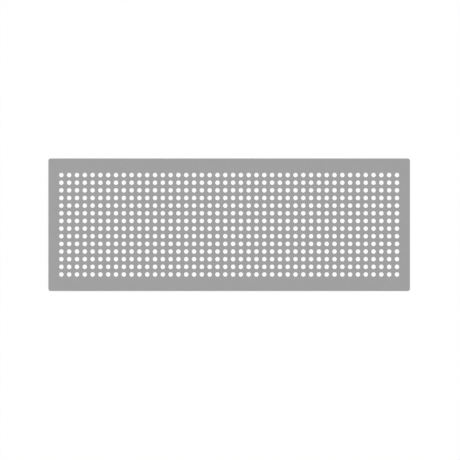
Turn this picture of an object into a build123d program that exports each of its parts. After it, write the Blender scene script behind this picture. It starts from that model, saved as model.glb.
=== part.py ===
from build123d import *
import os

# Vent cover grille: one flat sheet of metal, punched with a field of round holes.
# The sheet lies on its back face. The origin is the middle of the back face, +X runs
# along the sheet, +Y across it, and +Z out of the front face. Sizes are in millimetres.

# The sheet
PLATE_LENGTH = 240.0
PLATE_WIDTH = 88.0
SHEET_THICKNESS = 1.2
CORNER_RADIUS = 1.5
EDGE_ROUNDING = 0.25

# The perforation. A margin runs from an edge of the sheet to the centres of its nearest holes.
HOLE_DIAMETER = 3.05
END_MARGIN = 8.6
SIDE_MARGIN = 11.0
NOMINAL_COLUMN_PITCH = 5.18
NOMINAL_ROW_PITCH = 5.08


def spread(length, margin, nominal_pitch):
    """Count the holes that fit between two margins at about the nominal pitch, and space them evenly."""
    field = length - 2 * margin
    steps = round(field / nominal_pitch)
    return steps + 1, field / steps


columns, column_pitch = spread(PLATE_LENGTH, END_MARGIN, NOMINAL_COLUMN_PITCH)
rows, row_pitch = spread(PLATE_WIDTH, SIDE_MARGIN, NOMINAL_ROW_PITCH)

with BuildPart() as grille_plate:
    # The blank: a rectangle of sheet with rounded corners, its outer edges eased front and back
    with BuildSketch():
        RectangleRounded(PLATE_LENGTH, PLATE_WIDTH, CORNER_RADIUS)
    extrude(amount=SHEET_THICKNESS)
    fillet(grille_plate.faces().filter_by(Axis.Z).edges(), EDGE_ROUNDING)

    # The punched field: straight rows and columns of through holes
    with GridLocations(column_pitch, row_pitch, columns, rows):
        Hole(HOLE_DIAMETER / 2)

grille_plate.part.label = "grille_plate"

os.makedirs("parts", exist_ok=True)
export_step(grille_plate.part, "parts/grille_plate.step")
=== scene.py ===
"""Looks of the vent cover grille: a coated sheet with rolled hole rims, on a white floor, from above."""

import math

import bpy
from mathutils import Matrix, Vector


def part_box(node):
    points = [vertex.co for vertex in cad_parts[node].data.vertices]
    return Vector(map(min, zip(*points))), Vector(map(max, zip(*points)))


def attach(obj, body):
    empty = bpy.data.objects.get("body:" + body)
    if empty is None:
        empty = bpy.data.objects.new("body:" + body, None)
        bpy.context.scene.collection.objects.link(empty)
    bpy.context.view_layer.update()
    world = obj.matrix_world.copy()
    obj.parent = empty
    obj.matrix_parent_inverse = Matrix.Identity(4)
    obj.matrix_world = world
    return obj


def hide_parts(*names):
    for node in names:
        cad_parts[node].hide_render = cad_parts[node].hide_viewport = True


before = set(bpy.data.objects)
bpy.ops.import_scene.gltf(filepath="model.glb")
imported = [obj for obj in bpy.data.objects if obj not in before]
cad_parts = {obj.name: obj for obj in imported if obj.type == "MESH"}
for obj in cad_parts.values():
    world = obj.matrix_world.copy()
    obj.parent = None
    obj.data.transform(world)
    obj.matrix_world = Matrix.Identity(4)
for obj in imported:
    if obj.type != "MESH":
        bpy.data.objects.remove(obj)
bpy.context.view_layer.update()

# Units: the frame is in metres, and the sizes of the sheet are said in millimetres
MM = 0.001

# The sheet, as the frame has it
PLATE = "grille_plate"
plate_low, plate_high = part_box(PLATE)
LENGTH, WIDTH, THICKNESS = plate_high - plate_low
CENTRE = (plate_low + plate_high) / 2
BACK = plate_low.z

# The punched field, as on the part
COLUMNS = 44
ROWS = 14
HOLE_RADIUS = 1.525 * MM
END_MARGIN = 8.6 * MM
SIDE_MARGIN = 11.0 * MM
COLUMN_PITCH = (LENGTH - 2 * END_MARGIN) / (COLUMNS - 1)
ROW_PITCH = (WIDTH - 2 * SIDE_MARGIN) / (ROWS - 1)

# Edges under the coat: the punch rolls the front rim of a hole over and leaves the back rim sharper
FRONT_RIM = 0.22 * MM
BACK_RIM = 0.10 * MM
CORNER_RADIUS = 1.5 * MM
EDGE_ROUNDING = 0.25 * MM

# How finely round shapes are divided, and the room for unrolled edges round the sheet's texture map
HOLE_SEGMENTS = 24
RIM_STEPS = 2
EDGE_STEPS = 4
CORNER_STEPS = 8
MAP_MARGIN = 2.4 * MM

# The powder coat: its grains' size and detail, its bumps' depth, and its ranges of tone and roughness
SPECKLE_SIZE = 0.3 * MM
PEBBLE_SIZE = 0.4 * MM
PEEL_SIZE = 2.2 * MM
MOTTLE_SIZE = 14.0 * MM
SPECKLE_DETAIL = 2.0
BUMP_DETAIL = 1.0
MOTTLE_DETAIL = 3.0
PEBBLE_DEPTH = 0.04 * MM
PEEL_DEPTH = 0.05 * MM
SPECKLE_TONE = (0.90, 1.10)
COAT_TONE = (0.305, 0.312)
COAT_ROUGHNESS = (0.34, 0.44)
COAT_IOR = 1.5

# The range that nearly all values of the noise lie in
NOISE_VALUES = (0.27, 0.73)

# The studio: a floor whose white is mostly its own, an even sky and one broad lamp from the upper left
WHITE = 1.0
FLOOR_SIDE = 16.0
FLOOR_GAP = 0.02 * MM
FLOOR_TONE = 0.97
FLOOR_OWN_WHITE = 0.9
SKY_STRENGTH = 0.55
LAMP_STRENGTH = 1.7
LAMP_SPREAD = math.radians(25)
TOWARD_LAMP = Vector((-0.25, 0.55, 1.0))

# The camera: a long lens and its sensor, in millimetres as the camera takes them
LENS = 300.0
SENSOR = 36.0

# The photograph: its side and the outline of the sheet in it, in pixels
IMAGE_SIDE = 460
PHOTO_LEFT = 48.35
PHOTO_RIGHT = 409.95
PHOTO_TOP = 158.5
PHOTO_BOTTOM = 290.9


def edge_section(front_radius, back_radius, steps):
    """Section of a rounded edge from the front face to the back face.

    Each point is its distance into the metal, its height, and its normal's parts out of the metal and up.
    """
    section = []
    for step in range(steps + 1):
        turn = math.pi / 2 * step / steps
        out, up = math.sin(turn), math.cos(turn)
        section.append((front_radius * (1 - out), THICKNESS - front_radius * (1 - up), out, up))
    for step in range(steps + 1):
        turn = math.pi / 2 * step / steps
        out, down = math.cos(turn), math.sin(turn)
        section.append((back_radius * (1 - out), back_radius * (1 - down), out, -down))
    return section


class SheetMesh:
    """Vertices with their normals and their place on the unrolled sheet, and the faces of its two maps."""

    def __init__(self):
        self.points = []
        self.normals = []
        self.unrolled = []
        self.front_faces = []
        self.back_faces = []

    def add(self, point, normal, unrolled):
        """Keep a vertex and return its number."""
        self.points.append(point)
        self.normals.append(normal)
        self.unrolled.append(unrolled)
        return len(self.points) - 1

    def grid(self, columns, rows, height, up):
        """Corners of the cells that the holes sit in, on one face of the sheet."""
        return [[self.add((x, y, height), (0, 0, up), (x, y)) for y in rows] for x in columns]

    def sweep(self, outline, section):
        """Carry an edge's section round an outline that keeps the metal on its left.

        The outline is wall points with the direction out of the metal. Returns the rings on the two faces.
        """
        rings = []
        unroll = -section[0][0]
        last = section[0]
        for place in section:
            inward, height, out, up = place
            unroll += math.hypot(inward - last[0], height - last[1])
            last = place
            ring = []
            for x, y, out_x, out_y in outline:
                point = (x - out_x * inward, y - out_y * inward, BACK + height)
                normal = (out_x * out, out_y * out, up)
                ring.append(self.add(point, normal, (x + out_x * unroll, y + out_y * unroll)))
            rings.append(ring)
        for upper, lower in zip(rings, rings[1:]):
            for here in range(len(outline)):
                after = (here + 1) % len(outline)
                self.front_faces.append((upper[here], lower[here], lower[after], upper[after]))
        return rings[0], rings[-1]

    def lay_face(self, face, on_front):
        """Keep a flat face, wound as seen from the front, and turn it over where it lies on the back."""
        if on_front:
            self.front_faces.append(face)
        else:
            self.back_faces.append(face[::-1])

    def fill_cell(self, ring, corners, on_front):
        """Close the sheet between a hole's ring and the four corners of its cell, both clockwise."""
        quarter = len(ring) // 4
        middle = quarter // 2
        for side in range(4):
            near, far = corners[side], corners[(side + 1) % 4]
            arc = [ring[(side * quarter + step) % len(ring)] for step in range(quarter + 1)]
            fan = [(near, *pair) for pair in zip(arc[:middle], arc[1:])]
            fan.append((near, arc[middle], far))
            fan += [(far, *pair) for pair in zip(arc[middle:], arc[middle + 1:])]
            for face in fan:
                self.lay_face(face, on_front)

    def fill_border(self, ring, inner, on_front):
        """Close the sheet between its outer ring and the cell corners that the ring's points look to."""
        for here in range(len(ring)):
            after = (here + 1) % len(ring)
            face = [ring[here], ring[after], inner[after]]
            if inner[here] != inner[after]:
                face.append(inner[here])
            self.lay_face(face, on_front)


def hole_outline(x, y):
    """A hole's wall, clockwise from its upper right."""
    outline = []
    for step in range(HOLE_SEGMENTS):
        turn = math.pi / 4 - 2 * math.pi * step / HOLE_SEGMENTS
        along, across = math.cos(turn), math.sin(turn)
        outline.append((x + HOLE_RADIUS * along, y + HOLE_RADIUS * across, -along, -across))
    return outline


def corner_outline(x, y, start):
    """A rounded corner of the sheet, counterclockwise about its centre."""
    outline = []
    for step in range(CORNER_STEPS + 1):
        turn = start + math.pi / 2 * step / CORNER_STEPS
        along, across = math.cos(turn), math.sin(turn)
        outline.append((x + CORNER_RADIUS * along, y + CORNER_RADIUS * across, along, across))
    return outline


def sheet_outline(columns, rows):
    """The sheet's outer wall, counterclockwise from its lower left.

    Each point comes with the cell corner that it looks to.
    """
    left, right = CENTRE.x - LENGTH / 2, CENTRE.x + LENGTH / 2
    bottom, top = CENTRE.y - WIDTH / 2, CENTRE.y + WIDTH / 2
    last_column, last_row = len(columns) - 1, len(rows) - 1
    sides = [
        ([(x, bottom, 0, -1) for x in columns], [(i, 0) for i in range(len(columns))]),
        ([(right, y, 1, 0) for y in rows], [(last_column, j) for j in range(len(rows))]),
        ([(x, top, 0, 1) for x in columns[::-1]], [(i, last_row) for i in range(last_column, -1, -1)]),
        ([(left, y, -1, 0) for y in rows[::-1]], [(0, j) for j in range(last_row, -1, -1)]),
    ]
    corner_x = (right - CORNER_RADIUS, right - CORNER_RADIUS, left + CORNER_RADIUS, left + CORNER_RADIUS)
    corner_y = (bottom + CORNER_RADIUS, top - CORNER_RADIUS, top - CORNER_RADIUS, bottom + CORNER_RADIUS)
    outline, looks_to = [], []
    for turn, (side, cells) in enumerate(sides):
        corner = corner_outline(corner_x[turn], corner_y[turn], math.pi / 2 * (turn - 1))
        outline += side + corner
        looks_to += cells + [cells[-1]] * len(corner)
    return outline, looks_to


def lay_out_map(mesh, sheet):
    """Unroll the sheet for baking: the front with its edges and hole walls below, the back above."""
    span_x, span_y = LENGTH + 2 * MAP_MARGIN, WIDTH + 2 * MAP_MARGIN
    layer = mesh.uv_layers.new(name="OFBake")
    for face in mesh.polygons:
        on_back = face.index >= len(sheet.front_faces)
        for corner in face.loop_indices:
            vertex = mesh.loops[corner].vertex_index
            x, y = sheet.points[vertex][:2] if on_back else sheet.unrolled[vertex]
            across = (x - CENTRE.x) / span_x + 0.5
            up = (y - CENTRE.y) / span_y + 0.5
            layer.uv[corner].vector = (across, (up + 1) / 2 if on_back else up / 2)


def build_plate():
    """The coated sheet: every hole with its rolled rims, the eased outer edge, and both faces."""
    columns = [CENTRE.x + (i - COLUMNS / 2) * COLUMN_PITCH for i in range(COLUMNS + 1)]
    rows = [CENTRE.y + (j - ROWS / 2) * ROW_PITCH for j in range(ROWS + 1)]
    sheet = SheetMesh()
    front = sheet.grid(columns, rows, BACK + THICKNESS, 1)
    back = sheet.grid(columns, rows, BACK, -1)

    hole_section = edge_section(FRONT_RIM, BACK_RIM, RIM_STEPS)
    for i in range(COLUMNS):
        for j in range(ROWS):
            hole = hole_outline((columns[i] + columns[i + 1]) / 2, (rows[j] + rows[j + 1]) / 2)
            front_ring, back_ring = sheet.sweep(hole, hole_section)
            cell = ((i + 1, j + 1), (i + 1, j), (i, j), (i, j + 1))
            sheet.fill_cell(front_ring, [front[a][b] for a, b in cell], on_front=True)
            sheet.fill_cell(back_ring, [back[a][b] for a, b in cell], on_front=False)

    outline, looks_to = sheet_outline(columns, rows)
    front_ring, back_ring = sheet.sweep(outline, edge_section(EDGE_ROUNDING, EDGE_ROUNDING, EDGE_STEPS))
    sheet.fill_border(front_ring, [front[a][b] for a, b in looks_to], on_front=True)
    sheet.fill_border(back_ring, [back[a][b] for a, b in looks_to], on_front=False)

    mesh = bpy.data.meshes.new("coated_plate")
    mesh.from_pydata(sheet.points, [], sheet.front_faces + sheet.back_faces)
    mesh.shade_smooth()
    mesh.normals_split_custom_set_from_vertices(sheet.normals)
    lay_out_map(mesh, sheet)
    plate = bpy.data.objects.new("coated_plate", mesh)
    bpy.context.scene.collection.objects.link(plate)
    return plate


def add_node(tree, kind, settings=None, **inputs):
    """A shader node with its settings and input values, whose names have underscores for spaces."""
    made = tree.nodes.new("ShaderNode" + kind)
    for name, value in (settings or {}).items():
        setattr(made, name, value)
    for name, value in inputs.items():
        made.inputs[name.replace("_", " ")].default_value = value
    return made


def new_material(name):
    """A material with an empty node tree and its output node."""
    material = bpy.data.materials.new(name)
    material.use_nodes = True
    tree = material.node_tree
    tree.nodes.clear()
    return material, tree, add_node(tree, "OutputMaterial")


def grey(value):
    """An opaque grey."""
    return (value, value, value, 1.0)


def combine(tree, operation, first, second):
    """The result of a maths operation on two sockets."""
    made = add_node(tree, "Math", {"operation": operation})
    tree.links.new(first, made.inputs[0])
    tree.links.new(second, made.inputs[1])
    return made.outputs["Value"]


def grain(tree, size, detail):
    """Noise with grains of about the given size, fixed to the sheet."""
    place = add_node(tree, "TexCoord")
    texture = add_node(tree, "TexNoise", Scale=1 / size, Detail=detail)
    tree.links.new(place.outputs["Object"], texture.inputs["Vector"])
    return texture.outputs["Fac"]


def spread_over(tree, noise, values):
    """Noise stretched so that nearly all of it covers a range of values."""
    low, high = NOISE_VALUES
    made = add_node(tree, "MapRange", From_Min=low, From_Max=high, To_Min=values[0], To_Max=values[1])
    tree.links.new(noise, made.inputs["Value"])
    return made.outputs["Result"]


def bumps(tree, noise, depth):
    """A bump node for noise of the given depth."""
    made = add_node(tree, "Bump", Distance=depth)
    tree.links.new(noise, made.inputs["Height"])
    return made


def powder_coat():
    """Satin light grey powder coat: fine pebbling over slow peel, faintly mottled in tone and gloss."""
    material, tree, output = new_material("grey_powder_coat")
    link = tree.links.new
    shader = add_node(tree, "BsdfPrincipled", IOR=COAT_IOR)
    link(shader.outputs["BSDF"], output.inputs["Surface"])

    speckle = spread_over(tree, grain(tree, SPECKLE_SIZE, SPECKLE_DETAIL), SPECKLE_TONE)
    mottle = spread_over(tree, grain(tree, MOTTLE_SIZE, MOTTLE_DETAIL), COAT_TONE)
    link(combine(tree, "MULTIPLY", speckle, mottle), shader.inputs["Base Color"])

    peel = grain(tree, PEEL_SIZE, BUMP_DETAIL)
    link(spread_over(tree, peel, COAT_ROUGHNESS), shader.inputs["Roughness"])

    slow_bumps = bumps(tree, peel, PEEL_DEPTH)
    fine_bumps = bumps(tree, grain(tree, PEBBLE_SIZE, BUMP_DETAIL), PEBBLE_DEPTH)
    link(slow_bumps.outputs["Normal"], fine_bumps.inputs["Normal"])
    link(fine_bumps.outputs["Normal"], shader.inputs["Normal"])
    return material


def background_ray(tree):
    """1 for rays that show the background, seen directly, in gloss or through glass, and 0 for the rest."""
    path = add_node(tree, "LightPath")
    gloss_or_glass = combine(
        tree, "MAXIMUM", path.outputs["Is Glossy Ray"], path.outputs["Is Transmission Ray"]
    )
    return combine(tree, "MAXIMUM", path.outputs["Is Camera Ray"], gloss_or_glass)


def build_floor():
    """A white floor just under the sheet: most of its white is its own, and the rest takes the shadow."""
    half = FLOOR_SIDE / 2
    height = BACK - FLOOR_GAP
    corners = [(-half, -half, height), (half, -half, height), (half, half, height), (-half, half, height)]
    mesh = bpy.data.meshes.new("floor")
    mesh.from_pydata(corners, [], [(0, 1, 2, 3)])
    floor = bpy.data.objects.new("floor", mesh)
    bpy.context.scene.collection.objects.link(floor)

    material, tree, output = new_material("white_floor")
    link = tree.links.new
    lit = add_node(tree, "BsdfDiffuse", Color=grey(FLOOR_TONE))
    white = add_node(tree, "Emission", Color=grey(WHITE))
    share = add_node(tree, "MapRange", To_Max=FLOOR_OWN_WHITE)
    mix = add_node(tree, "MixShader")
    link(background_ray(tree), share.inputs["Value"])
    link(share.outputs["Result"], mix.inputs["Fac"])
    link(lit.outputs["BSDF"], mix.inputs[1])
    link(white.outputs["Emission"], mix.inputs[2])
    link(mix.outputs["Shader"], output.inputs["Surface"])
    mesh.materials.append(material)


def build_light():
    """The sky, white where it is seen, and the lamp."""
    scene = bpy.context.scene
    world = bpy.data.worlds.new("studio")
    world.use_nodes = True
    tree = world.node_tree
    tree.nodes.clear()
    strength = add_node(tree, "MapRange", To_Min=SKY_STRENGTH)
    sky = add_node(tree, "Background", Color=grey(WHITE))
    output = add_node(tree, "OutputWorld")
    tree.links.new(background_ray(tree), strength.inputs["Value"])
    tree.links.new(strength.outputs["Result"], sky.inputs["Strength"])
    tree.links.new(sky.outputs["Background"], output.inputs["Surface"])
    scene.world = world

    lamp = bpy.data.lights.new("key", "SUN")
    lamp.energy = LAMP_STRENGTH
    lamp.angle = LAMP_SPREAD
    key = bpy.data.objects.new("key", lamp)
    key.rotation_euler = TOWARD_LAMP.to_track_quat("Z", "Y").to_euler()
    scene.collection.objects.link(key)


def build_camera():
    """The camera straight above, placed so that the sheet's outline falls where the photograph has it."""
    pixels_per_metre = (PHOTO_RIGHT - PHOTO_LEFT) / LENGTH
    right = (IMAGE_SIDE / 2 - (PHOTO_LEFT + PHOTO_RIGHT) / 2) / pixels_per_metre
    up = ((PHOTO_TOP + PHOTO_BOTTOM) / 2 - IMAGE_SIDE / 2) / pixels_per_metre
    distance = IMAGE_SIDE / pixels_per_metre * LENS / SENSOR
    lens = bpy.data.cameras.new("camera")
    lens.lens = LENS
    lens.sensor_width = SENSOR
    camera = bpy.data.objects.new("camera", lens)
    camera.location = (CENTRE.x + right, CENTRE.y + up, BACK + THICKNESS + distance)
    bpy.context.scene.collection.objects.link(camera)
    bpy.context.scene.camera = camera


plate = build_plate()
plate.data.materials.append(powder_coat())
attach(plate, "root")
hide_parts(PLATE)
build_floor()
build_light()
build_camera()
bpy.context.scene.view_settings.view_transform = "Standard"
